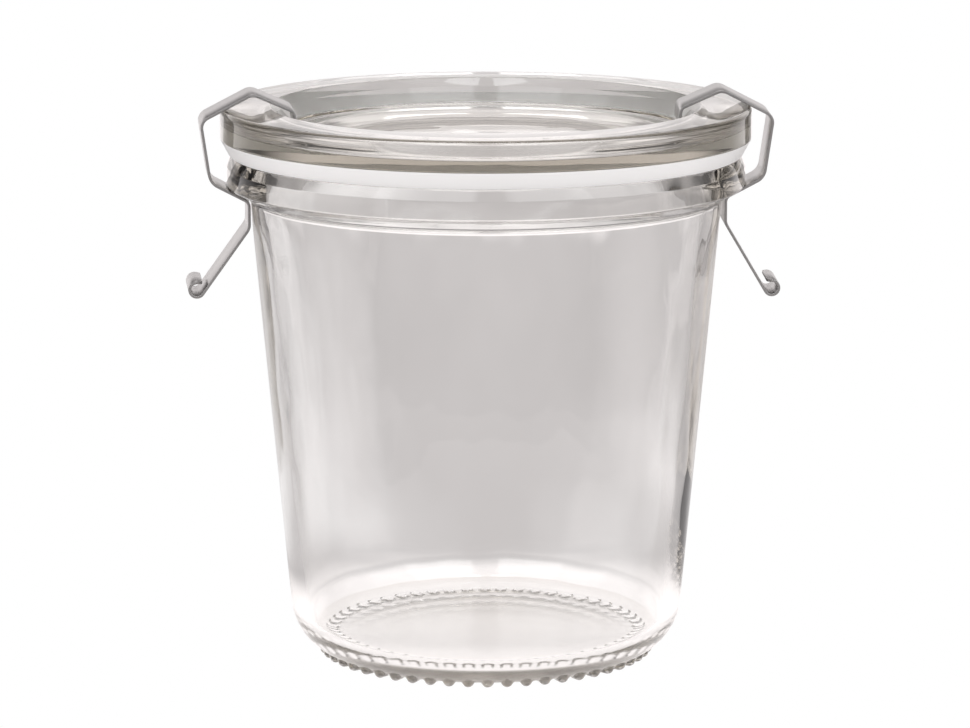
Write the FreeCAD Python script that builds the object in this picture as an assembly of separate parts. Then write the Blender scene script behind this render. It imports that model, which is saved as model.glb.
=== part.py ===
import FreeCAD, Part

import math
import os

# A preserving jar with its loose glass lid and two spring clips, in millimetres.
# The origin is the centre of the foot, on the surface that the jar stands on.
# +Z is up and +X runs through the clips. Every glass piece is turned about Z.
# Outlines are drawn in the XZ plane, where x is the distance from the jar's axis.

# Jar
JAR_HEIGHT = 84.4  # surface to the sealing face
RIM_RADIUS = 43.0  # outside of the flange under the lid
RIM_BAND = 5.0  # upright height of the flange
RIM_SLOPE = 2.0  # height over which the flange runs down into the neck
RIM_OVERHANG = 3.8  # flange beyond the neck
RIM_BEVEL_WIDTH = 0.75
RIM_BEVEL_HEIGHT = 1.8
RIM_ROUNDING = 0.5
NECK_ROUNDING = 1.6
WALL = 2.6
WALL_LEAN = 5.33  # degrees off upright, wider at the top
HEEL_RADIUS = 9.5  # outside curve from the wall to the foot
HEEL_SINK = 0.15  # how far the heel's full curve would pass below the surface
INNER_HEEL_RADIUS = 5.0
BASE_THICKNESS = 3.0  # foot ring to the inside floor
FLOOR_CROWN = 0.9  # rise of the inside floor at its middle
MOUTH_ROUNDING = 1.0

# Foot of pressed beads
FOOT_INSET = 5.2  # bead ring inside the wall's line at the surface
FOOT_RING_WIDTH = 4.0
BEAD_RADIUS = 1.0
BEAD_LENGTH = 1.2  # straight part between the rounded ends
BEAD_PITCH = 3.12
BEAD_DEPTH = 0.8  # beads below the foot ring
PUSH_UP = 1.4  # rise of the underside at its middle

# Lid
LID_HEIGHT = 7.9
LID_SKIRT = 2.8  # height of the tapered skirt below the upright edge
LID_OVERHANG = 1.0  # lid edge beyond the flange
SKIRT_STEP = 0.5  # foot of the skirt inside the flange
LID_EDGE_ROUNDING = 0.8
SKIRT_ROUNDING = 1.2
SEAT_ROUNDING = 0.3
LID_LIP_WIDTH = 8.4  # top ring between the lid's edge and its dish
LIP_BEVEL_WIDTH = 1.2
LIP_BEVEL_HEIGHT = 1.4
DISH_DEPTH = 4.4
DISH_WALL_LEAN = 1.6  # run of the dish wall inward
DISH_ROUNDING = 1.6
PLATE_THICKNESS = 3.3  # glass under the dish
PLUG_CLEARANCE = 0.7  # centring ring to the mouth
PLUG_DEPTH = 2.4
PLUG_WIDTH = 3.0
PLUG_ROUNDING = 0.8

# Spring clips
STRIP_THICKNESS = 0.45
STRIP_WIDTH = 10.0
STRIP_END_ROUNDING = 1.2
CLIP_CLEARANCE = 0.12  # strip to the glass that it grips
CLIP_BEARING = 2.0  # degrees that each clip sits round from the X axis, toward -Y
APEX_INSET = 5.2  # bend over the lip, inside the lid's edge
APEX_RISE = 2.75  # bend over the lip, above the lid
APEX_BEND = 2.0
SHOULDER_OUT = 3.35  # outer corner beyond the lid's edge
SHOULDER_BEND = 1.8
LEG_FOOT_OUT = 2.7  # lower corner beyond the flange
LEG_FOOT_BEND = 2.6
TOE_INSET = 11.9  # inner bend, inside the lid's edge
TOE_DROP = 0.2  # inner bend, below the lid's top
TOE_BEND = 1.0
TOE_LENGTH = 2.3
TOE_TILT = 82.0  # degrees from level
NECK_BEND = 1.2
NECK_GRIP = 4.3  # height of the strip that lies along the neck
LEVER_BEND = 2.2
LEVER_LENGTH = 13.3
LEVER_TILT_RIGHT = 59.5  # degrees from level
LEVER_TILT_LEFT = 54.2
CURL_RADIUS = 1.2
CURL_TURN = 240.0  # degrees
CURL_TAIL = 0.8

UP = FreeCAD.Vector(0, 0, 1)
CENTRE = FreeCAD.Vector(0, 0, 0)
SHORTEST_LINE = 1e-6

neck_radius = RIM_RADIUS - RIM_OVERHANG
rim_underside = JAR_HEIGHT - RIM_BAND
neck_height = rim_underside - RIM_SLOPE
lean = math.radians(WALL_LEAN)
lid_radius = RIM_RADIUS + LID_OVERHANG
lid_top = JAR_HEIGHT + LID_HEIGHT


def wall_radius(height):
    """The outside of the wall at a height."""
    return neck_radius - (neck_height - height) * math.tan(lean)


def bore_radius(height):
    """The inside of the wall at a height."""
    return wall_radius(height) - WALL / math.cos(lean)


def point(x, z):
    """A point of the XZ plane."""
    return FreeCAD.Vector(x, 0, z)


def toward(start, end, distance):
    """The point a distance along the way from start to end."""
    step = end - start
    return start + step * (distance / step.Length)


def rounded_corner(before, corner, after, radius):
    """Where an arc of the radius leaves and rejoins a corner, and its middle."""
    half = (before - corner).getAngle(after - corner) / 2
    tangent = radius / math.tan(half)
    start = toward(corner, before, tangent)
    end = toward(corner, after, tangent)
    chord_middle = (start + end) * 0.5
    middle = toward(corner, chord_middle, radius / math.sin(half) - radius)
    return start, middle, end


def outline_face(corners):
    """A face inside a closed outline of (x, z, rounding) corners."""
    points = [point(x, z) for x, z, rounding in corners]
    ends = []
    edges = []
    for index, corner in enumerate(points):
        rounding = corners[index][2]
        if rounding == 0:
            ends.append((corner, corner))
            continue
        after = points[(index + 1) % len(points)]
        start, middle, end = rounded_corner(points[index - 1], corner, after, rounding)
        ends.append((start, end))
        edges.append(Part.Arc(start, middle, end).toShape())
    for index in range(len(points)):
        start = ends[index - 1][1]
        end = ends[index][0]
        if start.distanceToPoint(end) > SHORTEST_LINE:
            edges.append(Part.LineSegment(start, end).toShape())
    return Part.Face(Part.Wire(Part.__sortEdges__(edges)))


def turned(corners):
    """A solid turned about the jar's axis from a closed outline."""
    return outline_face(corners).revolve(CENTRE, UP, 360)


def dome(rim_radius, rim_height, rise):
    """A ball whose cap stands a rise above a circle of the rim radius and height."""
    ball_radius = (rim_radius ** 2 + rise ** 2) / (2 * rise)
    return Part.makeSphere(ball_radius, point(0, rim_height + rise - ball_radius))


def heel_corner():
    """Where the lines of the wall and the heel's lowest point would cross."""
    return wall_radius(-HEEL_SINK), -HEEL_SINK


def jar_shell():
    """The turned glass, before its foot is shaped."""
    floor = BEAD_DEPTH + BASE_THICKNESS
    corner_radius, corner_height = heel_corner()
    return turned([
        (0, corner_height, 0),
        (corner_radius, corner_height, HEEL_RADIUS),
        (neck_radius, neck_height, NECK_ROUNDING),
        (RIM_RADIUS, rim_underside, RIM_ROUNDING),
        (RIM_RADIUS, JAR_HEIGHT - RIM_BEVEL_HEIGHT, RIM_ROUNDING),
        (RIM_RADIUS - RIM_BEVEL_WIDTH, JAR_HEIGHT, 0),
        (bore_radius(JAR_HEIGHT), JAR_HEIGHT, MOUTH_ROUNDING),
        (bore_radius(floor), floor, INNER_HEEL_RADIUS),
        (0, floor, 0),
    ])


def floor_crown():
    """The low dome on the inside floor, down to the middle of the base."""
    floor = BEAD_DEPTH + BASE_THICKNESS
    crown_radius = bore_radius(floor) - INNER_HEEL_RADIUS
    below = BASE_THICKNESS / 2
    disc = Part.makeCylinder(crown_radius, FLOOR_CROWN + below, point(0, floor - below))
    return disc.common(dome(crown_radius, floor, FLOOR_CROWN))


def foot_bead():
    """A short rod with ball ends that lies across the foot ring, along X."""
    foot_radius = wall_radius(0) - FOOT_INSET
    inner_end = point(foot_radius - BEAD_LENGTH / 2, BEAD_RADIUS)
    outer_end = point(foot_radius + BEAD_LENGTH / 2, BEAD_RADIUS)
    rod = Part.makeCylinder(BEAD_RADIUS, BEAD_LENGTH, inner_end, outer_end - inner_end)
    return rod.fuse([Part.makeSphere(BEAD_RADIUS, end) for end in (inner_end, outer_end)])


def foot_beads():
    circumference = 2 * math.pi * (wall_radius(0) - FOOT_INSET)
    count = round(circumference / BEAD_PITCH)
    beads = []
    for number in range(count):
        bead = foot_bead()
        bead.rotate(CENTRE, UP, 360 * number / count)
        beads.append(bead)
    return beads


def jar():
    below = Part.makeCylinder(RIM_RADIUS, BEAD_DEPTH + HEEL_SINK, point(0, -HEEL_SINK))
    underside_radius = wall_radius(0) - FOOT_INSET - FOOT_RING_WIDTH / 2
    body = jar_shell().fuse(floor_crown())
    body = body.cut([below, dome(underside_radius, BEAD_DEPTH, PUSH_UP)])
    return body.fuse(foot_beads())


def lid():
    skirt_foot = RIM_RADIUS - SKIRT_STEP
    skirt_top = JAR_HEIGHT + LID_SKIRT
    lip_inside = lid_radius - LID_LIP_WIDTH
    dish_floor = lid_top - DISH_DEPTH
    dish_edge = lip_inside - LIP_BEVEL_WIDTH
    plug_outside = bore_radius(JAR_HEIGHT) - PLUG_CLEARANCE
    plug_inside = plug_outside - PLUG_WIDTH
    plug_foot = JAR_HEIGHT - PLUG_DEPTH
    plate_underside = dish_floor - PLATE_THICKNESS
    return turned([
        (0, plate_underside, 0),
        (plug_inside, plate_underside, PLUG_ROUNDING),
        (plug_inside + PLUG_ROUNDING, plug_foot, PLUG_ROUNDING),
        (plug_outside - PLUG_ROUNDING / 2, plug_foot, PLUG_ROUNDING),
        (plug_outside, JAR_HEIGHT, PLUG_ROUNDING / 2),
        (skirt_foot, JAR_HEIGHT, SEAT_ROUNDING),
        (lid_radius, skirt_top, SKIRT_ROUNDING),
        (lid_radius, lid_top, LID_EDGE_ROUNDING),
        (lip_inside, lid_top, LID_EDGE_ROUNDING / 2),
        (dish_edge, lid_top - LIP_BEVEL_HEIGHT, LID_EDGE_ROUNDING / 2),
        (dish_edge - DISH_WALL_LEAN, dish_floor, DISH_ROUNDING),
        (0, dish_floor, 0),
    ])


def heading(degrees):
    """The unit step at an angle up from level."""
    return point(math.cos(math.radians(degrees)), math.sin(math.radians(degrees)))


def beside(start, end, gap):
    """The line from start to end, moved sideways to its left by a gap."""
    way = (end - start).normalize()
    shift = point(-way.z, way.x) * gap
    return start + shift, end + shift


def crossing(first, second):
    """The point where two lines in the XZ plane cross."""
    (a, b), (c, d) = first, second
    along = b - a
    other = d - c
    turn = along.x * other.z - along.z * other.x
    reach = ((c - a).x * other.z - (c - a).z * other.x) / turn
    return a + along * reach


def tangent_heading(start, centre, radius):
    """The heading, in degrees, of the line from a point that passes just above a circle."""
    way = centre - start
    rise = math.degrees(math.atan2(way.z, way.x))
    return rise + math.degrees(math.asin(radius / way.Length))


def clip_path(lever_tilt):
    """The middle of the bent strip, as (point, bend radius), from the toe to the curl."""
    gap = CLIP_CLEARANCE + STRIP_THICKNESS / 2
    toe_bend = point(lid_radius - TOE_INSET, lid_top - TOE_DROP)
    toe = toe_bend - heading(TOE_TILT) * TOE_LENGTH
    apex = point(lid_radius - APEX_INSET, lid_top + APEX_RISE)
    lid_edge = point(lid_radius - LID_EDGE_ROUNDING, lid_top - LID_EDGE_ROUNDING)
    over_edge = heading(tangent_heading(apex, lid_edge, LID_EDGE_ROUNDING + gap))
    shoulder = apex + over_edge * ((APEX_INSET + SHOULDER_OUT) / over_edge.x)
    leg_line = (shoulder, point(RIM_RADIUS + LEG_FOOT_OUT, rim_underside))
    rim_line = beside(point(RIM_RADIUS, rim_underside), point(neck_radius, neck_height), gap)
    neck_line = (point(neck_radius + gap, neck_height), point(neck_radius + gap, 0))
    leg_foot = crossing(leg_line, rim_line)
    neck_bend = crossing(rim_line, neck_line)
    lever_top = neck_bend - point(0, NECK_GRIP)
    tangent = CURL_RADIUS * math.tan(math.radians(CURL_TURN / 4))
    curl_start = lever_top + heading(-lever_tilt) * (LEVER_LENGTH + tangent)
    curl_middle = curl_start + heading(CURL_TURN / 2 - lever_tilt) * (2 * tangent)
    tail = curl_middle + heading(CURL_TURN - lever_tilt) * (tangent + CURL_TAIL)
    return [
        (toe, 0),
        (toe_bend, TOE_BEND),
        (apex, APEX_BEND),
        (shoulder, SHOULDER_BEND),
        (leg_foot, LEG_FOOT_BEND),
        (neck_bend, NECK_BEND),
        (lever_top, LEVER_BEND),
        (curl_start, CURL_RADIUS),
        (curl_middle, CURL_RADIUS),
        (tail, 0),
    ]


def strip_side(path, side):
    """Outline corners of the face of the strip to the left (1) or right (-1) of its path."""
    offset = side * STRIP_THICKNESS / 2
    places = [place for place, radius in path]
    lines = [beside(a, b, offset) for a, b in zip(places, places[1:])]
    corners = [(lines[0][0].x, lines[0][0].z, 0)]
    for index in range(1, len(path) - 1):
        before = places[index] - places[index - 1]
        after = places[index + 1] - places[index]
        turns_left = before.x * after.z - before.z * after.x > 0
        radius = path[index][1] - offset if turns_left else path[index][1] + offset
        corner = crossing(lines[index - 1], lines[index])
        corners.append((corner.x, corner.z, radius))
    corners.append((lines[-1][1].x, lines[-1][1].z, 0))
    return corners


def clip(lever_tilt, bearing):
    """A flat spring strip bent over the lid's lip and under the flange, turned to its bearing."""
    path = clip_path(lever_tilt)
    face = outline_face(strip_side(path, 1) + strip_side(path, -1)[::-1])
    face.translate(FreeCAD.Vector(0, -STRIP_WIDTH / 2, 0))
    strip = face.extrude(FreeCAD.Vector(0, STRIP_WIDTH, 0))
    ends = (path[0][0], path[-1][0])
    corner_edges = []
    for edge in strip.Edges:
        middle = edge.CenterOfMass
        near_end = min(point(middle.x, middle.z).distanceToPoint(end) for end in ends)
        if near_end < SHORTEST_LINE and abs(edge.Length - STRIP_THICKNESS) < SHORTEST_LINE:
            corner_edges.append(edge)
    strip = strip.makeFillet(STRIP_END_ROUNDING, corner_edges)
    strip.rotate(CENTRE, UP, bearing)
    return strip


def main():
    parts = {
        "jar": jar(),
        "lid": lid(),
        "clip_right": clip(LEVER_TILT_RIGHT, -CLIP_BEARING),
        "clip_left": clip(LEVER_TILT_LEFT, 180 + CLIP_BEARING),
    }
    os.makedirs("parts", exist_ok=True)
    for name, shape in parts.items():
        solid = shape.removeSplitter().Solids[0]
        solid.exportStep("parts/" + name + ".step")
        box = solid.BoundBox
        print(
            f"{name}: {len(shape.Solids)} solid, valid {solid.isValid()}, "
            f"{solid.Volume / 1000:.2f} cm3, faces {len(solid.Faces)}, "
            f"x {box.XMin:.2f}..{box.XMax:.2f}, y {box.YMin:.2f}..{box.YMax:.2f}, "
            f"z {box.ZMin:.2f}..{box.ZMax:.2f}"
        )


main()
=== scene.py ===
"""Looks of the preserving jar: clear pressed glass, a glass lid, two spring clips and a plain studio."""

import logging
import math
from dataclasses import dataclass, field
from enum import Enum

import bpy
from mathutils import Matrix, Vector


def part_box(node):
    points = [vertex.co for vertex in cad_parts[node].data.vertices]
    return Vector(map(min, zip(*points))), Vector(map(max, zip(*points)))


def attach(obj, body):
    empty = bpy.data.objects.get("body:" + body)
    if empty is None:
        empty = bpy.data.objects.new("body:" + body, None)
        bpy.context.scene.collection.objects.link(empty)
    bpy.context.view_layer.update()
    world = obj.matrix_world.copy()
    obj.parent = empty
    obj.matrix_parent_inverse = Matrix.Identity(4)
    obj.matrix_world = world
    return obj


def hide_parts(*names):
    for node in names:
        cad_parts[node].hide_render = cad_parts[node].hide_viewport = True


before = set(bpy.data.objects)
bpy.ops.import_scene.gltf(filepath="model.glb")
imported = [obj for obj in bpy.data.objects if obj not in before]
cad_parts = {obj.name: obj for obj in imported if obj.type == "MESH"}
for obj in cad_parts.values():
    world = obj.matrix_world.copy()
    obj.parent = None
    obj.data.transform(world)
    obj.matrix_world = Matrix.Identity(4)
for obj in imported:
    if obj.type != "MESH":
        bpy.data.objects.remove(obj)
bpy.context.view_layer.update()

log = logging.getLogger("jar")

Socket = bpy.types.NodeSocket
Colour = tuple[float, float, float]

MM = 0.001
WELD = 1e-6  # points nearer than this are one
BODY = "root"
MIDDLE = (0.0, 0.0, 0.0)
SPIN_AXIS = (0.0, 0.0, -1.0)  # the spin tool turns clockwise round its axis
SECOND_FINISH = 1  # place of a piece's second material
NOISE_MIDDLE = 0.5  # what a noise texture gives on average
WARM: Colour = (1.03, 0.988, 0.985)
COOL: Colour = (0.98, 1.003, 1.015)
PLAIN: Colour = (1.035, 0.99, 0.99)
ALL_ROUND = 240.0  # half width in degrees of a patch of light without ends


class Slot(Enum):
    """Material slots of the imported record."""

    JAR = "jar_glass"
    LID = "lid_glass"
    CLIP = "clip_steel"


# ---------------------------------------------------------------------------
# Modelling helpers
# ---------------------------------------------------------------------------


@dataclass(frozen=True)
class Corner:
    """A corner of an outline in the XZ plane, rounded by an arc."""

    across: float
    height: float
    rounding: float = 0.0
    facets: int = 5

    @property
    def place(self) -> Vector:
        """The corner's point before it is rounded."""
        return Vector((self.across, 0.0, self.height))


def round_corner(before: Vector, corner: Corner, after: Vector) -> list[Vector]:
    """Points of the arc that rounds a corner.

    Args:
        before: The outline's previous point.
        corner: The corner with its rounding.
        after: The outline's next point.

    Returns:
        The arc's points in order, or the bare corner where it stays sharp.
    """
    place = corner.place
    if corner.rounding == 0.0:
        return [place]
    back = (before - place).normalized()
    ahead = (after - place).normalized()
    half = back.angle(ahead) / 2
    tangent = corner.rounding / math.tan(half)
    centre = place + (back + ahead).normalized() * (corner.rounding / math.sin(half))
    start = (place + back * tangent - centre).normalized()
    end = (place + ahead * tangent - centre).normalized()
    steps = [step / corner.facets for step in range(corner.facets + 1)]
    return [centre + start.slerp(end, part) * corner.rounding for part in steps]


def outline_points(corners: list[Corner]) -> list[Vector]:
    """Points of an open outline whose inner corners are rounded.

    Args:
        corners: Corners in order; the first and last stay as they are.

    Returns:
        The outline's points.
    """
    points = [corners[0].place]
    for before, corner, after in zip(corners, corners[1:], corners[2:]):
        points += round_corner(before.place, corner, after.place)
    points.append(corners[-1].place)
    return points


def dome_points(rim: float, rim_height: float, rise: float, rings: int) -> list[Vector]:
    """Points of a low dome from its middle out to its rim.

    Args:
        rim: Radius of the dome.
        rim_height: Height of its rim.
        rise: Height of its middle above the rim.
        rings: How many steps it takes.

    Returns:
        Points from the middle outward, without the rim itself.
    """
    ball = (rim * rim + rise * rise) / (2 * rise)
    steps = [rim * step / rings for step in range(rings)]
    return [Vector((r, 0.0, rim_height + rise - ball + math.sqrt(ball * ball - r * r))) for r in steps]


def edit(active: bpy.types.Object) -> None:
    """Selects one object alone and enters its edit mode.

    Args:
        active: The object.
    """
    if bpy.context.mode != "OBJECT":
        bpy.ops.object.mode_set(mode="OBJECT")
    bpy.ops.object.select_all(action="DESELECT")
    active.select_set(True)
    bpy.context.view_layer.objects.active = active
    bpy.ops.object.mode_set(mode="EDIT")


def draw_line(name: str, points: list[Vector]) -> bpy.types.Object:
    """Draws a line of edges: a small plane is merged to one point, which is then extruded along.

    Args:
        name: Name of the new piece.
        points: The line's points.

    Returns:
        The object, left in edit mode with its last point selected.
    """
    bpy.ops.object.select_all(action="DESELECT")
    bpy.ops.mesh.primitive_plane_add(size=MM)
    piece = bpy.context.object
    piece.name = name
    edit(piece)
    bpy.ops.mesh.select_all(action="SELECT")
    bpy.ops.mesh.merge(type="CENTER")
    bpy.ops.transform.translate(value=points[0])
    for start, end in zip(points, points[1:]):
        bpy.ops.mesh.extrude_vertices_move(TRANSFORM_OT_translate={"value": end - start})
    return piece


def close_turned_mesh() -> None:
    """Welds the seams and poles of the mesh in edit mode and turns its faces outward."""
    bpy.ops.mesh.select_all(action="SELECT")
    bpy.ops.mesh.remove_doubles(threshold=WELD)
    bpy.ops.mesh.normals_make_consistent(inside=False)


def apply_modifier(piece: bpy.types.Object, kind: str, **settings: object) -> None:
    """Adds a modifier to a piece, sets it and applies it.

    Args:
        piece: The piece, in object mode.
        kind: The modifier's type.
        **settings: Values of the modifier.
    """
    bpy.context.view_layer.objects.active = piece
    modifier = piece.modifiers.new(kind.title(), kind)
    for name, value in settings.items():
        setattr(modifier, name, value)
    bpy.ops.object.modifier_apply(modifier=modifier.name)


def shade(piece: bpy.types.Object, sharp_angle: float) -> None:
    """Smooths the shading of a piece except at its sharp edges.

    Args:
        piece: The piece.
        sharp_angle: Angle in degrees from which an edge stays sharp.
    """
    bpy.ops.object.mode_set(mode="OBJECT")
    bpy.ops.object.select_all(action="DESELECT")
    piece.select_set(True)
    bpy.context.view_layer.objects.active = piece
    bpy.ops.object.shade_smooth_by_angle(angle=math.radians(sharp_angle))


def coat(piece: bpy.types.Object, *materials: bpy.types.Material) -> None:
    """Gives a piece its materials.

    Args:
        piece: The piece.
        *materials: Its finishes; the first covers every face until another is chosen.
    """
    piece.data.materials.clear()
    for material in materials:
        piece.data.materials.append(material)


def declare(piece: bpy.types.Object, node: str) -> None:
    """Hangs a piece under the body and hides the part of the frame that it stands for.

    Args:
        piece: The finished piece.
        node: The part that it replaces.
    """
    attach(piece, BODY)
    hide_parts(node)


# ---------------------------------------------------------------------------
# Finishes
# ---------------------------------------------------------------------------


class NodeSheet:
    """A node tree with short ways to add to it."""

    def __init__(self, owner: bpy.types.Material | bpy.types.World, output: str) -> None:
        """Clears a material's or the world's tree and gives it an output.

        Args:
            owner: The material or world.
            output: Type of its output node.
        """
        owner.use_nodes = True
        self.owner = owner
        self.tree = owner.node_tree
        self.tree.nodes.clear()
        self.output = self.add(output)

    @classmethod
    def material(cls, name: str) -> "NodeSheet":
        """Starts an empty material."""
        return cls(bpy.data.materials.new(name), "ShaderNodeOutputMaterial")

    def add(self, kind: str, **values: object) -> bpy.types.Node:
        """Adds a node and sets its plain values.

        Args:
            kind: The node's type.
            **values: Attributes of the node, or of its inputs as in_NAME with _ for a space.

        Returns:
            The new node.
        """
        node = self.tree.nodes.new(kind)
        for name, value in values.items():
            if name.startswith("in_"):
                node.inputs[name.removeprefix("in_").replace("_", " ")].default_value = value
            else:
                setattr(node, name, value)
        return node

    def join(self, out: Socket, into: Socket) -> None:
        """Links an output to an input."""
        self.tree.links.new(out, into)

    def math(self, operation: str, first: float | Socket, second: float | Socket = 0.0) -> Socket:
        """Adds a math node.

        Args:
            operation: What it works out.
            first: Its first value.
            second: Its second value, where it takes one.

        Returns:
            The node's output.
        """
        node = self.add("ShaderNodeMath", operation=operation)
        for socket, value in zip(node.inputs, (first, second)):
            if isinstance(value, float):
                socket.default_value = value
            else:
                self.join(value, socket)
        return node.outputs[0]

    def ramp(self, value: Socket, start: float, end: float, **ends: float) -> Socket:
        """Adds a smooth step between two values.

        Args:
            value: What the step follows.
            start: Value at which it starts.
            end: Value at which it ends.
            **ends: in_To_Min and in_To_Max, where it doesn't go from 0 to 1.

        Returns:
            The step.
        """
        step = self.add("ShaderNodeMapRange", interpolation_type="SMOOTHSTEP", **ends)
        step.inputs["From Min"].default_value = start
        step.inputs["From Max"].default_value = end
        self.join(value, step.inputs["Value"])
        return step.outputs["Result"]

    def band(self, value: Socket, low: float, high: float, soft: float) -> Socket:
        """Adds a mask that is 1 between two values and fades to 0 round each of them.

        Args:
            value: What the mask follows.
            low: Value half way up its rise.
            high: Value half way down its fall.
            soft: Half the width of the rise and of the fall.

        Returns:
            The mask.
        """
        rise = self.ramp(value, low - soft, low + soft)
        fall = self.ramp(value, high - soft, high + soft, in_To_Min=1.0, in_To_Max=0.0)
        return self.math("MULTIPLY", rise, fall)

    def bearing(self, way: Socket, centre: float) -> Socket:
        """Adds the bearing of a direction, in degrees.

        Args:
            way: The direction.
            centre: Bearing that counts as 0, itself counted from the front.

        Returns:
            The bearing.
        """
        turn = self.add("ShaderNodeVectorRotate", rotation_type="Z_AXIS", in_Angle=math.radians(-centre))
        split = self.add("ShaderNodeSeparateXYZ")
        self.join(way, turn.inputs["Vector"])
        self.join(turn.outputs["Vector"], split.inputs["Vector"])
        across, depth, _ = split.outputs
        angle = self.math("ARCTAN2", across, self.math("MULTIPLY", depth, -1.0))
        return self.math("DEGREES", angle)


@dataclass(frozen=True)
class Wave:
    """One layer of a glass surface's unevenness: its fineness, its height and its detail."""

    scale: float
    height: float
    detail: float = 0.0


@dataclass(frozen=True)
class PressedGlass:
    """Clear soda-lime glass from a mould: broad swells, streaks down the wall and a fine skin.

    The waves start at a height above the foot and reach their full height further up. The depth
    tint and its density darken long ways through the glass.
    """

    name: str
    tint: Colour = (1.0, 1.0, 1.0)
    depth_tint: Colour = (0.50, 0.45, 0.36)
    depth_density: float = 20.0
    frost: float = 0.0
    roughness: float = 0.0
    ior: float = 1.52
    swells: Wave = Wave(40.0, 0.1 * MM)
    streaks: Wave = Wave(120.0, 0.02 * MM, detail=1.0)
    skin: Wave = Wave(260.0, 0.008 * MM)
    upright_stretch: float = 0.42
    wave_start: float = 9.0 * MM
    wave_full: float = 36.0 * MM

    def relief(self, sheet: NodeSheet) -> Socket:
        """Adds the height of the waves on the surface.

        Args:
            sheet: The material's node tree.

        Returns:
            The height in metres.
        """
        coords = sheet.add("ShaderNodeTexCoord")
        stretch = sheet.add("ShaderNodeMapping", in_Scale=(1.0, 1.0, self.upright_stretch))
        sheet.join(coords.outputs["Object"], stretch.inputs["Vector"])
        layers = []
        for wave in (self.swells, self.streaks, self.skin):
            noise = sheet.add("ShaderNodeTexNoise", in_Scale=wave.scale, in_Detail=wave.detail)
            sheet.join(stretch.outputs["Vector"], noise.inputs["Vector"])
            centred = sheet.math("SUBTRACT", noise.outputs["Fac"], NOISE_MIDDLE)
            layers.append(sheet.math("MULTIPLY", centred, wave.height))
        swells, streaks, skin = layers
        waves = sheet.math("ADD", sheet.math("ADD", swells, streaks), skin)
        split = sheet.add("ShaderNodeSeparateXYZ")
        sheet.join(coords.outputs["Object"], split.inputs["Vector"])
        wall = sheet.ramp(split.outputs["Z"], self.wave_start, self.wave_full)
        return sheet.math("MULTIPLY", wall, waves)

    def build(self) -> bpy.types.Material:
        """Makes the material.

        Returns:
            The material.
        """
        sheet = NodeSheet.material(self.name)
        glass = sheet.add("ShaderNodeBsdfPrincipled", in_IOR=self.ior, in_Roughness=self.roughness)
        glass.inputs["Base Color"].default_value = (*self.tint, 1.0)
        glass.inputs["Transmission Weight"].default_value = 1.0 - self.frost
        bump = sheet.add("ShaderNodeBump", in_Distance=1.0)
        sheet.join(self.relief(sheet), bump.inputs["Height"])
        sheet.join(bump.outputs["Normal"], glass.inputs["Normal"])
        sheet.join(glass.outputs["BSDF"], sheet.output.inputs["Surface"])
        depth = sheet.add("ShaderNodeVolumeAbsorption", in_Density=self.depth_density)
        depth.inputs["Color"].default_value = (*self.depth_tint, 1.0)
        sheet.join(depth.outputs["Volume"], sheet.output.inputs["Volume"])
        return sheet.owner


@dataclass(frozen=True)
class SpringSteel:
    """Cold-rolled spring strip: satin, with fine lines along its length."""

    name: str
    tone: Colour = (0.57, 0.56, 0.555)
    roughness: float = 0.3
    glossier: float = 0.07
    duller: float = 0.09
    line_scale: float = 5000.0
    line_detail: float = 3.0
    line_stretch: float = 0.03
    line_depth: float = 0.004 * MM

    def build(self) -> bpy.types.Material:
        """Makes the material.

        Returns:
            The material.
        """
        sheet = NodeSheet.material(self.name)
        steel = sheet.add("ShaderNodeBsdfPrincipled", in_Metallic=1.0)
        steel.inputs["Base Color"].default_value = (*self.tone, 1.0)
        coords = sheet.add("ShaderNodeTexCoord")
        along = sheet.add("ShaderNodeMapping", in_Scale=(self.line_stretch, 1.0, self.line_stretch))
        lines = sheet.add("ShaderNodeTexNoise", in_Scale=self.line_scale, in_Detail=self.line_detail)
        sheet.join(coords.outputs["Object"], along.inputs["Vector"])
        sheet.join(along.outputs["Vector"], lines.inputs["Vector"])
        gloss = sheet.add("ShaderNodeMapRange")
        gloss.inputs["To Min"].default_value = self.roughness - self.glossier
        gloss.inputs["To Max"].default_value = self.roughness + self.duller
        sheet.join(lines.outputs["Fac"], gloss.inputs["Value"])
        sheet.join(gloss.outputs["Result"], steel.inputs["Roughness"])
        bump = sheet.add("ShaderNodeBump", in_Distance=self.line_depth)
        sheet.join(lines.outputs["Fac"], bump.inputs["Height"])
        sheet.join(bump.outputs["Normal"], steel.inputs["Normal"])
        sheet.join(steel.outputs["BSDF"], sheet.output.inputs["Surface"])
        return sheet.owner


# ---------------------------------------------------------------------------
# Glass
# ---------------------------------------------------------------------------


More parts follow.
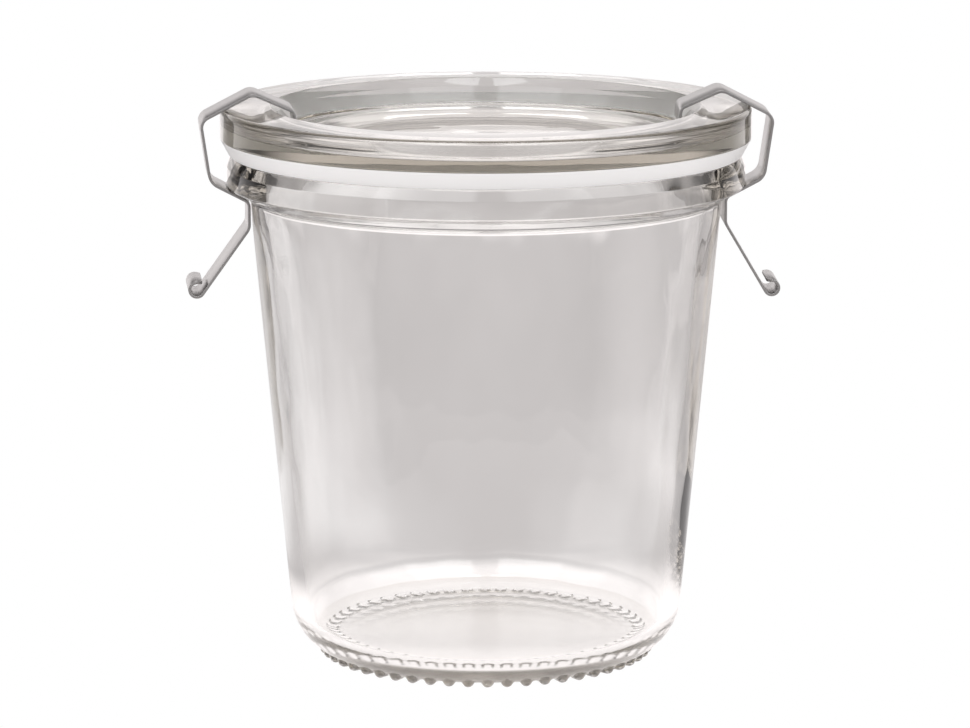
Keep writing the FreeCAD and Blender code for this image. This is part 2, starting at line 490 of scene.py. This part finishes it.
@dataclass
class JarGlass:
    """The jar: a tapered tumbler with a flange, turned from one outline, on a foot of pressed beads."""

    finish: PressedGlass
    floor_finish: PressedGlass
    rim_band: float = 5.0 * MM
    rim_slope: float = 2.0 * MM
    rim_overhang: float = 3.8 * MM
    rim_bevel_width: float = 0.75 * MM
    rim_bevel_height: float = 1.8 * MM
    rim_rounding: float = 0.5 * MM
    neck_rounding: float = 1.6 * MM
    wall: float = 2.6 * MM
    wall_lean: float = math.radians(5.33)
    heel: float = 9.5 * MM
    heel_sink: float = 0.15 * MM
    inner_heel: float = 5.0 * MM
    base: float = 3.0 * MM
    crown: float = 0.9 * MM
    mouth_edge_rounding: float = 0.25 * MM
    mouth_rounding: float = 1.0 * MM
    foot_inset: float = 5.2 * MM
    foot_width: float = 4.0 * MM
    bead_radius: float = 1.0 * MM
    bead_length: float = 1.2 * MM
    bead_pitch: float = 3.12 * MM
    bead_depth: float = 0.8 * MM
    push_up: float = 1.4 * MM
    chill_rise: float = 1.25 * MM
    chill_facing: float = 0.5
    bead_columns: int = 12
    foot_rings: int = 9
    dome_rings: int = 8
    sharp_angle: float = 32.0
    height: float = field(init=False)
    rim_radius: float = field(init=False)

    def __post_init__(self) -> None:
        """Takes the overall size from the frame."""
        _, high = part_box("jar")
        self.height = high[2]
        self.rim_radius = high[0]

    @property
    def rim_underside(self) -> float:
        """Height of the flange's lower edge."""
        return self.height - self.rim_band

    @property
    def neck_radius(self) -> float:
        """Outside radius of the wall right below the flange."""
        return self.rim_radius - self.rim_overhang

    @property
    def foot_radius(self) -> float:
        """Radius of the ring of beads."""
        return self.wall_radius(0.0) - self.foot_inset

    @property
    def floor_height(self) -> float:
        """Height of the inside floor at its rim."""
        return self.bead_depth + self.base

    def wall_radius(self, height: float) -> float:
        """Outside radius of the wall's line at a height."""
        below_neck = self.rim_underside - self.rim_slope - height
        return self.neck_radius - below_neck * math.tan(self.wall_lean)

    def bore_radius(self, height: float) -> float:
        """Inside radius of the wall's line at a height."""
        return self.wall_radius(height) - self.wall / math.cos(self.wall_lean)

    def outline(self) -> list[Vector]:
        """Works out the whole outline, from the middle of the underside round to the inside floor.

        Returns:
            The outline's points.
        """
        ring_inside = self.foot_radius - self.foot_width / 2
        neck_height = self.rim_underside - self.rim_slope
        bevel_height = self.height - self.rim_bevel_height
        mouth_edge = self.rim_radius - self.rim_bevel_width
        floor = self.floor_height
        floor_rim = self.bore_radius(floor) - self.inner_heel
        corners = [
            Corner(ring_inside, -self.heel_sink),
            Corner(self.wall_radius(-self.heel_sink), -self.heel_sink, self.heel, facets=44),
            Corner(self.neck_radius, neck_height, self.neck_rounding, facets=6),
            Corner(self.rim_radius, self.rim_underside, self.rim_rounding),
            Corner(self.rim_radius, bevel_height, self.rim_rounding, facets=4),
            Corner(mouth_edge, self.height, self.mouth_edge_rounding, facets=4),
            Corner(self.bore_radius(self.height), self.height, self.mouth_rounding, facets=8),
            Corner(self.bore_radius(floor), floor, self.inner_heel, facets=20),
            Corner(0.0, floor),
        ]
        turned = outline_points(corners)[1:-1]
        first = next(index for index, place in enumerate(turned) if place.z > self.bead_depth)
        below, above = turned[first - 1], turned[first]
        heel_edge = below.lerp(above, (self.bead_depth - below.z) / (above.z - below.z))
        ring_step = Vector(((heel_edge.x - ring_inside) / self.foot_rings, 0.0, 0.0))
        ring = [heel_edge - ring_step * step for step in reversed(range(self.foot_rings + 1))]
        under_dome = dome_points(ring_inside, self.bead_depth, self.push_up, self.dome_rings)
        floor_dome = dome_points(floor_rim, floor, self.crown, self.dome_rings)[::-1]
        return under_dome + ring + turned[first:] + floor_dome

    def press_beads(self) -> None:
        """Drops the points of the wedge in edit mode onto one bead of the foot."""
        piece = bpy.context.object
        bpy.ops.object.mode_set(mode="OBJECT")
        for vertex in piece.data.vertices:
            place = vertex.co
            beyond = max(0.0, abs(place.x - self.foot_radius) - self.bead_length / 2)
            away = math.hypot(place.y, beyond)
            if away < self.bead_radius and place.z <= 2 * self.bead_radius:
                bead = self.bead_radius - math.sqrt(self.bead_radius ** 2 - away ** 2)
                vertex.co.z = min(place.z, bead)
        bpy.ops.object.mode_set(mode="EDIT")

    def build(self) -> bpy.types.Object:
        """Makes the jar: one wedge with its bead, spun round as many times as there are beads.

        Returns:
            The finished piece.
        """
        count = round(math.tau * self.foot_radius / self.bead_pitch)
        wedge = math.tau / count
        piece = draw_line("glass_jar", self.outline())
        bpy.ops.object.mode_set(mode="OBJECT")
        piece.rotation_euler.z = -wedge / 2
        bpy.ops.object.transform_apply(location=True, rotation=True, scale=True)
        edit(piece)
        bpy.ops.mesh.select_all(action="SELECT")
        bpy.ops.mesh.spin(steps=self.bead_columns, angle=wedge, center=MIDDLE, axis=SPIN_AXIS)
        bpy.ops.mesh.select_all(action="SELECT")
        bpy.ops.mesh.remove_doubles(threshold=WELD)
        self.press_beads()
        bpy.ops.mesh.select_all(action="SELECT")
        copies = count - 1
        bpy.ops.mesh.spin(
            steps=copies, dupli=True, angle=wedge * copies, center=MIDDLE, axis=SPIN_AXIS
        )
        close_turned_mesh()
        shade(piece, self.sharp_angle)
        coat(piece, self.finish.build(), self.floor_finish.build())
        self.chill_floor(piece)
        declare(piece, "jar")
        return piece

    def chill_floor(self, piece: bpy.types.Object) -> None:
        """Gives the inside floor the duller finish that the plunger leaves.

        Args:
            piece: The jar with both of its finishes.
        """
        low = self.floor_height - WELD
        high = self.floor_height + self.chill_rise
        reach = self.bore_radius(self.floor_height)
        for face in piece.data.polygons:
            across, depth, height = face.center
            inside = low < height < high and math.hypot(across, depth) < reach
            if inside and face.normal.z > self.chill_facing:
                face.material_index = SECOND_FINISH


@dataclass
class LidGlass:
    """The lid: a pressed glass disc with a dish, a lip, a tapered skirt and a centring ring."""

    finish: PressedGlass
    # second finish: near-white frost on the skirt, painted light for the bright floor seen through it
    painted_light_skirt: PressedGlass
    skirt: float = 2.8 * MM
    skirt_step: float = 0.5 * MM
    edge_rounding: float = 0.8 * MM
    skirt_rounding: float = 1.2 * MM
    seat_rounding: float = 0.3 * MM
    lip: float = 8.4 * MM
    lip_bevel_width: float = 1.2 * MM
    lip_bevel_height: float = 1.4 * MM
    dish_depth: float = 4.4 * MM
    dish_lean: float = 1.6 * MM
    dish_rounding: float = 1.6 * MM
    plate: float = 3.3 * MM
    plug_clearance: float = 0.7 * MM
    plug_depth: float = 2.4 * MM
    plug_width: float = 3.0 * MM
    plug_rounding: float = 0.8 * MM
    seat_gap: float = 0.02 * MM
    skirt_facing: float = 0.5
    steps: int = 288
    sharp_angle: float = 32.0
    top: float = field(init=False)
    radius: float = field(init=False)

    def __post_init__(self) -> None:
        """Takes the overall size from the frame."""
        _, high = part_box("lid")
        self.top = high[2]
        self.radius = high[0]

    def outline(self, jar: JarGlass) -> list[Vector]:
        """Works out the whole outline, from the middle of the underside round to the dish.

        Args:
            jar: The jar that the lid rests on.

        Returns:
            The outline's points.
        """
        seat = jar.height + self.seat_gap
        floor = self.top - self.dish_depth
        lip_inside = self.radius - self.lip
        dish_edge = lip_inside - self.lip_bevel_width
        plug_outside = jar.bore_radius(jar.height) - self.plug_clearance
        plug_inside = plug_outside - self.plug_width
        plug_foot = jar.height - self.plug_depth
        under = floor - self.plate
        corners = [
            Corner(0.0, under),
            Corner(plug_inside, under, self.plug_rounding, facets=6),
            Corner(plug_inside + self.plug_rounding, plug_foot, self.plug_rounding, facets=6),
            Corner(plug_outside - self.plug_rounding / 2, plug_foot, self.plug_rounding, facets=6),
            Corner(plug_outside, seat, self.plug_rounding / 2),
            Corner(jar.rim_radius - self.skirt_step, seat, self.seat_rounding),
            Corner(self.radius, jar.height + self.skirt, self.skirt_rounding, facets=6),
            Corner(self.radius, self.top, self.edge_rounding, facets=8),
            Corner(lip_inside, self.top, self.edge_rounding / 2),
            Corner(dish_edge, self.top - self.lip_bevel_height, self.edge_rounding / 2),
            Corner(dish_edge - self.dish_lean, floor, self.dish_rounding, facets=8),
            Corner(0.0, floor),
        ]
        return outline_points(corners)

    def build(self, jar: JarGlass) -> bpy.types.Object:
        """Makes the lid.

        Args:
            jar: The jar that the lid rests on.

        Returns:
            The finished piece.
        """
        piece = draw_line("glass_lid", self.outline(jar))
        bpy.ops.mesh.select_all(action="SELECT")
        bpy.ops.mesh.spin(steps=self.steps, angle=math.tau, center=MIDDLE, axis=SPIN_AXIS)
        close_turned_mesh()
        shade(piece, self.sharp_angle)
        coat(piece, self.finish.build(), self.painted_light_skirt.build())
        self.paint_skirt_light(piece, jar)
        declare(piece, "lid")
        return piece

    def paint_skirt_light(self, piece: bpy.types.Object, jar: JarGlass) -> None:
        """Gives the tapered skirt its near-white frosted coat, painted light that stands in for the bright
        floor seen through the clear skirt.

        Args:
            piece: The lid with both of its finishes.
            jar: The jar that the lid rests on.
        """
        low = jar.height + self.seat_gap
        high = jar.height + self.skirt
        for face in piece.data.polygons:
            outward = face.normal.dot(Vector((face.center.x, face.center.y, 0.0)).normalized())
            if low < face.center.z < high and outward > self.skirt_facing:
                face.material_index = SECOND_FINISH


# ---------------------------------------------------------------------------
# Spring clips
# ---------------------------------------------------------------------------


class Side(Enum):
    """The two clips: CAD node, turn round the jar and tilt of the lever, both in degrees."""

    RIGHT = ("clip_right", -2.0, 59.5)
    LEFT = ("clip_left", 182.0, 54.2)

    def __init__(self, node: str, turn: float, lever_tilt: float) -> None:
        """Names the values of a clip.

        Args:
            node: The part of the frame that the clip stands for.
            turn: Its turn round the jar from the X axis.
            lever_tilt: How far its lever points below level.
        """
        self.node = node
        self.turn = turn
        self.lever_tilt = lever_tilt


def heading(degrees: float) -> Vector:
    """The unit step in the XZ plane at an angle up from level."""
    angle = math.radians(degrees)
    return Vector((math.cos(angle), 0.0, math.sin(angle)))


def crossing(start: Vector, way: Vector, other: Vector, other_way: Vector) -> Vector:
    """Finds where two lines in the XZ plane cross.

    Args:
        start: A point of the first line.
        way: Its direction.
        other: A point of the second line.
        other_way: Its direction.

    Returns:
        The point where they cross.
    """
    turn = way.x * other_way.z - way.z * other_way.x
    apart = other - start
    return start + way * ((apart.x * other_way.z - apart.z * other_way.x) / turn)


@dataclass
class SpringClip:
    """A flat spring strip bent over the lid's lip and under the flange."""

    side: Side
    face_finish: SpringSteel
    edge_finish: SpringSteel
    thickness: float = 0.45 * MM
    width: float = 10.0 * MM
    end_rounding: float = 1.2 * MM
    edge_softening: float = 0.07 * MM
    edge_angle: float = 50.0
    edge_segments: int = 2
    clearance: float = 0.12 * MM
    apex_inset: float = 5.2 * MM
    apex_rise: float = 2.75 * MM
    apex_bend: float = 2.0 * MM
    shoulder_out: float = 3.35 * MM
    shoulder_bend: float = 1.8 * MM
    leg_foot_out: float = 2.7 * MM
    leg_foot_bend: float = 2.6 * MM
    toe_inset: float = 11.9 * MM
    toe_drop: float = 0.2 * MM
    toe_bend: float = 1.0 * MM
    toe_length: float = 2.3 * MM
    toe_tilt: float = 82.0
    neck_bend: float = 1.2 * MM
    neck_grip: float = 4.3 * MM
    lever_bend: float = 2.2 * MM
    lever_length: float = 13.3 * MM
    curl_radius: float = 1.2 * MM
    curl_turn: float = 240.0
    curl_tail: float = 0.8 * MM
    bend_facets: int = 10
    end_rows: int = 6
    row_gap: float = 0.01 * MM
    sharp_angle: float = 40.0

    def path(self, jar: JarGlass, lid: LidGlass) -> list[Corner]:
        """Works out the middle of the strip, from the toe in the dish to the curl of the lever.

        Args:
            jar: The jar whose flange the clip grips.
            lid: The lid that it holds down.

        Returns:
            The corners in order.
        """
        lever_tilt = self.side.lever_tilt
        gap = self.clearance + self.thickness / 2
        underside = jar.rim_underside
        toe_bend = Vector((lid.radius - self.toe_inset, 0.0, lid.top - self.toe_drop))
        toe = toe_bend - heading(self.toe_tilt) * self.toe_length
        apex = Vector((lid.radius - self.apex_inset, 0.0, lid.top + self.apex_rise))
        edge = Vector((lid.radius - lid.edge_rounding, 0.0, lid.top - lid.edge_rounding))
        to_edge = edge - apex
        rise = math.atan2(to_edge.z, to_edge.x) + math.asin((lid.edge_rounding + gap) / to_edge.length)
        over_edge = heading(math.degrees(rise))
        shoulder = apex + over_edge * ((self.apex_inset + self.shoulder_out) / over_edge.x)
        leg_end = Vector((jar.rim_radius + self.leg_foot_out, 0.0, underside))
        slope = Vector((-jar.rim_overhang, 0.0, -jar.rim_slope)).normalized()
        below_slope = Vector((jar.rim_radius, 0.0, underside)) + Vector((-slope.z, 0.0, slope.x)) * gap
        beside_neck = Vector((jar.neck_radius + gap, 0.0, underside))
        leg_foot = crossing(shoulder, leg_end - shoulder, below_slope, slope)
        neck_bend = crossing(below_slope, slope, beside_neck, Vector((0.0, 0.0, -1.0)))
        lever_top = neck_bend - Vector((0.0, 0.0, self.neck_grip))
        tangent = self.curl_radius * math.tan(math.radians(self.curl_turn / 4))
        curl_start = lever_top + heading(-lever_tilt) * (self.lever_length + tangent)
        curl_middle = curl_start + heading(self.curl_turn / 2 - lever_tilt) * (2 * tangent)
        tail = curl_middle + heading(self.curl_turn - lever_tilt) * (tangent + self.curl_tail)
        bends = [
            (toe, 0.0),
            (toe_bend, self.toe_bend),
            (apex, self.apex_bend),
            (shoulder, self.shoulder_bend),
            (leg_foot, self.leg_foot_bend),
            (neck_bend, self.neck_bend),
            (lever_top, self.lever_bend),
            (curl_start, self.curl_radius),
            (curl_middle, self.curl_radius),
            (tail, 0.0),
        ]
        return [Corner(place.x, place.z, bend, self.bend_facets) for place, bend in bends]

    def end_steps(self) -> list[float]:
        """Distances from a rounded end at which the strip needs a row of points."""
        turns = [math.pi / 2 * row / self.end_rows for row in range(1, self.end_rows + 1)]
        return [self.end_rounding * (1 - math.cos(turn)) for turn in turns]

    def half_width(self, from_end: float) -> float:
        """Works out half the strip's width, which its rounded ends narrow.

        Args:
            from_end: Distance from the nearer end.

        Returns:
            Half the width there.
        """
        if from_end >= self.end_rounding:
            return self.width / 2
        inset = self.end_rounding - from_end
        return self.width / 2 - self.end_rounding + math.sqrt(self.end_rounding ** 2 - inset ** 2)

    def rows(self, corners: list[Corner]) -> list[tuple[Vector, float]]:
        """Works out the rows of points along the strip.

        Args:
            corners: Corners of the middle of the strip.

        Returns:
            The middle of each row in order, with its distance from the nearer end.
        """
        points = outline_points(corners)
        marks = [0.0]
        for start, end in zip(points, points[1:]):
            marks.append(marks[-1] + (end - start).length)
        length = marks[-1]
        steps = self.end_steps()
        places = list(zip(points, marks))
        for mark in steps + [length - step for step in steps]:
            index = next(i for i, known in enumerate(marks) if known > mark)
            part = (mark - marks[index - 1]) / (marks[index] - marks[index - 1])
            places.append((points[index - 1].lerp(points[index], part), mark))
        places.sort(key=lambda item: item[1])
        kept = [places[0]]
        for place in places[1:]:
            if place[1] - kept[-1][1] > self.row_gap:
                kept.append(place)
        return [(place, min(mark, length - mark)) for place, mark in kept]

    def build(self, jar: JarGlass, lid: LidGlass) -> bpy.types.Object:
        """Makes the clip.

        Args:
            jar: The jar whose flange the clip grips.
            lid: The lid that it holds down.

        Returns:
            The finished piece.
        """
        rows = self.rows(self.path(jar, lid))
        strip = draw_line("spring_" + self.side.node, [place for place, _ in rows])
        bpy.ops.mesh.select_all(action="SELECT")
        bpy.ops.transform.translate(value=(0.0, -self.width / 2, 0.0))
        bpy.ops.mesh.extrude_region_move(TRANSFORM_OT_translate={"value": (0.0, self.width, 0.0)})
        for place, from_end in rows:
            if from_end < self.end_rounding:
                self.narrow_row(strip, place, self.half_width(from_end) / (self.width / 2))
        bpy.ops.mesh.select_all(action="SELECT")
        bpy.ops.mesh.normals_make_consistent(inside=False)
        bpy.ops.object.mode_set(mode="OBJECT")
        coat(strip, self.face_finish.build(), self.edge_finish.build())
        apply_modifier(
            strip,
            "SOLIDIFY",
            thickness=self.thickness,
            offset=0.0,
            use_even_offset=True,
            material_offset_rim=SECOND_FINISH,
        )
        apply_modifier(
            strip,
            "BEVEL",
            limit_method="ANGLE",
            angle_limit=math.radians(self.edge_angle),
            width=self.edge_softening,
            segments=self.edge_segments,
        )
        strip.rotation_euler.z = math.radians(self.side.turn)
        bpy.ops.object.transform_apply(location=True, rotation=True, scale=True)
        shade(strip, self.sharp_angle)
        declare(strip, self.side.node)
        return strip

    def narrow_row(self, strip: bpy.types.Object, place: Vector, factor: float) -> None:
        """Scales the two points of one row of the strip across its width.

        Args:
            strip: The strip, in edit mode.
            place: The middle of the row.
            factor: Its width as a share of the strip's.
        """
        bpy.ops.mesh.select_all(action="DESELECT")
        bpy.ops.object.mode_set(mode="OBJECT")
        for vertex in strip.data.vertices:
            vertex.select = math.hypot(vertex.co.x - place.x, vertex.co.z - place.z) < WELD
        bpy.ops.object.mode_set(mode="EDIT")
        bpy.ops.transform.resize(value=(1.0, factor, 1.0))


# ---------------------------------------------------------------------------
# Studio
# ---------------------------------------------------------------------------


@dataclass(frozen=True)
class Patch:
    """A soft patch of light round the jar.

    Its bearing is in degrees from the front. Its low and high ends are degrees above the horizon
    in the surroundings, and metres from the jar's middle on the floor.
    """

    bearing: float
    half_width: float
    low: float
    high: float
    strength: float
    tint: Colour = WARM
    side_softness: float = 10.0
    end_softness: float = 6.0

    def add_to(self, sheet: NodeSheet, way: Socket, reach: Socket, light: Socket) -> Socket:
        """Adds the patch to the light so far.

        Args:
            sheet: The node tree.
            way: Direction or place that the bearing is taken of.
            reach: Degrees above the horizon, or metres from the jar's middle.
            light: The light so far.

        Returns:
            The light with the patch.
        """
        turn = sheet.bearing(way, self.bearing)
        across = sheet.band(turn, -self.half_width, self.half_width, self.side_softness)
        along = sheet.band(reach, self.low, self.high, self.end_softness)
        colour = sheet.add("ShaderNodeVectorMath", operation="SCALE")
        colour.inputs[0].default_value = [part * self.strength for part in self.tint]
        sheet.join(sheet.math("MULTIPLY", across, along), colour.inputs["Scale"])
        total = sheet.add("ShaderNodeVectorMath", operation="ADD")
        sheet.join(light, total.inputs[0])
        sheet.join(colour.outputs[0], total.inputs[1])
        return total.outputs[0]


@dataclass
class Studio:
    """White sweep for the camera, grey studio with soft panels for the glass, and the camera.

    The azimuth and elevation are the camera's, in degrees. The panels hang round the jar, and the
    pools are painted light that the floor gives off itself, with no lamp lighting it.
    """

    azimuth: float = -4.0
    elevation: float = 10.83
    distance: float = 764.3 * MM
    aim_height: float = 48.54 * MM
    lens: float = 169.6
    sensor_width: float = 36.0
    shift_x: float = -0.0008
    nearest: float = 10.0 * MM
    farthest: float = 20.0
    room_tone: float = 0.10
    floor_radius: float = 0.95
    floor_sides: int = 64
    glass_bounces: int = 20
    panels: tuple[Patch, ...] = (
        # softboxes at both sides of the camera, and their weaker wings
        Patch(-35.5, 22.5, 10.0, 58.0, 2.2, COOL, side_softness=2.0, end_softness=4.0),
        Patch(27.5, 22.5, 10.0, 58.0, 2.2, COOL, side_softness=2.0, end_softness=4.0),
        Patch(-75.0, 17.0, 10.0, 58.0, 1.0, COOL, side_softness=4.0),
        Patch(67.0, 17.0, 10.0, 58.0, 1.0, COOL, side_softness=4.0),
        # high windows, and the ceiling
        Patch(-35.0, 21.0, 72.0, 82.0, 3.5, COOL, side_softness=2.0, end_softness=1.0),
        Patch(27.0, 21.0, 72.0, 82.0, 3.5, COOL, side_softness=2.0, end_softness=1.0),
        Patch(0.0, ALL_ROUND, 62.0, 100.0, 0.8, end_softness=8.0),
        # low strip in front, high panel behind, and the horizon behind
        Patch(0.0, 55.0, 4.0, 14.0, 0.9),
        Patch(180.0, 18.0, 32.0, 56.0, 0.95),
        Patch(180.0, 42.0, -6.0, 17.0, 0.95),
        # dim panels at the sides, and high in the corners behind
        Patch(-90.0, 20.0, -10.0, 32.0, 0.35),
        Patch(90.0, 20.0, -10.0, 20.0, 0.35),
        Patch(-135.0, 35.0, 46.0, 62.0, 0.45),
        Patch(135.0, 35.0, 46.0, 62.0, 0.45),
    )
    # painted light: pools, streaks and glows that the floor gives off itself round the jar, where no lamp
    # lights it
    painted_light_pools: tuple[Patch, ...] = (
        # painted pool of light under the jar, and close round its front and sides
        Patch(0.0, ALL_ROUND, -0.1, 0.06, 0.98, end_softness=0.012),
        Patch(0.0, 118.0, 0.06, 0.14, 0.55, side_softness=20.0, end_softness=0.03),
        # painted streaks of light behind, left and right
        Patch(-152.0, 15.0, 0.08, 0.4, 0.3, COOL, side_softness=12.0, end_softness=0.02),
        Patch(150.0, 12.0, 0.06, 0.2, 0.1, COOL, side_softness=12.0, end_softness=0.02),
        # painted light on the sweep: grey behind with a brighter far end, and the sweep in front
        Patch(180.0, 62.0, 0.06, 1.2, 0.49, PLAIN, side_softness=25.0, end_softness=0.012),
        Patch(180.0, 50.0, 0.46, 1.2, 0.6, side_softness=15.0, end_softness=0.04),
        Patch(0.0, 100.0, 0.12, 1.2, 0.55, side_softness=20.0, end_softness=0.03),
        # painted glows of light at the front of the base
        Patch(-45.0, 28.0, 0.042, 0.1, 0.4, COOL, end_softness=0.01),
        Patch(45.0, 28.0, 0.042, 0.1, 0.4, COOL, end_softness=0.01),
        Patch(0.0, 20.0, 0.04, 0.065, 0.3, end_softness=0.01),
        # painted light at both sides, near and far
        Patch(-90.0, 25.0, 0.1, 0.2, 0.6, end_softness=0.03),
        Patch(90.0, 25.0, 0.1, 0.2, 0.6, end_softness=0.03),
        Patch(-90.0, 25.0, 0.2, 0.35, 0.4, end_softness=0.03),
        Patch(90.0, 25.0, 0.2, 0.35, 0.4, end_softness=0.03),
    )

    def lit(self, sheet: NodeSheet, way: Socket, reach: Socket, patches: tuple[Patch, ...]) -> Socket:
        """Adds up the room's tone and the patches of light.

        Args:
            sheet: The node tree.
            way: Direction or place that the patches' bearings are taken of.
            reach: Degrees above the horizon, or metres from the jar's middle.
            patches: The patches.

        Returns:
            The sum.
        """
        room = sheet.add("ShaderNodeCombineXYZ")
        for socket, part in zip(room.inputs, WARM):
            socket.default_value = part * self.room_tone
        light = room.outputs[0]
        for patch in patches:
            light = patch.add_to(sheet, way, reach, light)
        return light

    def finish(self, sheet: NodeSheet, kind: str, light: Socket) -> None:
        """Shows the light to the glass and steel, and plain white to the camera.

        Args:
            sheet: The node tree.
            kind: Type of the node that gives the light off.
            light: The light.
        """
        studio = sheet.add(kind)
        sheet.join(light, studio.inputs["Color"])
        white = sheet.add(kind, in_Color=(1.0, 1.0, 1.0, 1.0))
        path = sheet.add("ShaderNodeLightPath")
        mix = sheet.add("ShaderNodeMixShader")
        unseen, seen = mix.inputs[1:]
        sheet.join(path.outputs["Is Camera Ray"], mix.inputs["Fac"])
        sheet.join(studio.outputs[0], unseen)
        sheet.join(white.outputs[0], seen)
        sheet.join(mix.outputs[0], sheet.output.inputs["Surface"])

    def build_world(self) -> None:
        """Lights the scene with the panels of the studio."""
        world = bpy.data.worlds.new("studio")
        bpy.context.scene.world = world
        sheet = NodeSheet(world, "ShaderNodeOutputWorld")
        way = sheet.add("ShaderNodeTexCoord").outputs["Generated"]
        split = sheet.add("ShaderNodeSeparateXYZ")
        sheet.join(way, split.inputs["Vector"])
        elevation = sheet.math("DEGREES", sheet.math("ARCSINE", split.outputs["Z"]))
        self.finish(sheet, "ShaderNodeBackground", self.lit(sheet, way, elevation, self.panels))

    def build_floor(self) -> None:
        """The pale floor: white to the camera; for the glass it gives off painted pools of light round the
        jar itself, with no lamp lighting it.
        """
        bpy.ops.mesh.primitive_circle_add(
            vertices=self.floor_sides, radius=self.floor_radius, fill_type="NGON"
        )
        floor = bpy.context.object
        floor.name = "studio_floor"
        sheet = NodeSheet.material("pale_floor")
        place = sheet.add("ShaderNodeTexCoord").outputs["Object"]
        length = sheet.add("ShaderNodeVectorMath", operation="LENGTH")
        sheet.join(place, length.inputs[0])
        # for the glass the floor glows with the painted pools of light; to the camera it is plain white
        self.finish(sheet, "ShaderNodeEmission", self.lit(sheet, place, length.outputs["Value"], self.painted_light_pools))
        floor.data.materials.append(sheet.owner)

    def build_camera(self) -> None:
        """Places the camera round the jar and aims it."""
        turn, rise = math.radians(self.azimuth), math.radians(self.elevation)
        back = Vector((math.sin(turn) * math.cos(rise), -math.cos(turn) * math.cos(rise), math.sin(rise)))
        aim = Vector((0.0, 0.0, self.aim_height))
        bpy.ops.object.camera_add(location=aim + back * self.distance)
        camera = bpy.context.object
        camera.rotation_euler = (-back).to_track_quat("-Z", "Y").to_euler()
        camera.data.lens = self.lens
        camera.data.sensor_width = self.sensor_width
        camera.data.shift_x = self.shift_x
        camera.data.clip_start = self.nearest
        camera.data.clip_end = self.farthest
        bpy.context.scene.camera = camera

    def deepen_light_paths(self) -> None:
        """Lets light reflect often enough inside thick glass, which otherwise turns black."""
        paths = bpy.context.scene.cycles
        paths.max_bounces = self.glass_bounces
        paths.glossy_bounces = self.glass_bounces
        paths.transmission_bounces = self.glass_bounces

    def build(self) -> None:
        """Sets up everything round the jar."""
        self.deepen_light_paths()
        self.build_world()
        self.build_floor()
        self.build_camera()
        bpy.context.scene.view_settings.view_transform = "Standard"


def main() -> None:
    """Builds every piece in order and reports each."""
    logging.basicConfig(level=logging.INFO, format="%(name)s: %(message)s")
    swells = Wave(40.0, 1.6 * MM)
    streaks = Wave(120.0, 0.26 * MM, detail=1.0)
    wall_finish = PressedGlass("clear_jar_glass", swells=swells, streaks=streaks)
    floor_finish = PressedGlass("chilled_jar_floor", roughness=0.15)
    # the skirt's near-white frost is painted light: it stands in for the bright floor seen through the clear
    # skirt
    painted_light_skirt = PressedGlass("lid_skirt_painted_light", (0.99, 0.985, 0.98), frost=0.9, roughness=0.35)
    faces = SpringSteel("satin_spring_steel")
    edges = SpringSteel("cut_spring_steel", tone=(0.32, 0.31, 0.305), roughness=0.4)
    jar = JarGlass(wall_finish, floor_finish)
    lid = LidGlass(PressedGlass("clear_lid_glass"), painted_light_skirt)
    pieces = [jar.build(), lid.build(jar)]
    pieces += [SpringClip(side, faces, edges).build(jar, lid) for side in Side]
    for piece in pieces:
        log.info("%s: %d faces", piece.name, len(piece.data.polygons))
    Studio().build()


if __name__ == "__main__":
    main()
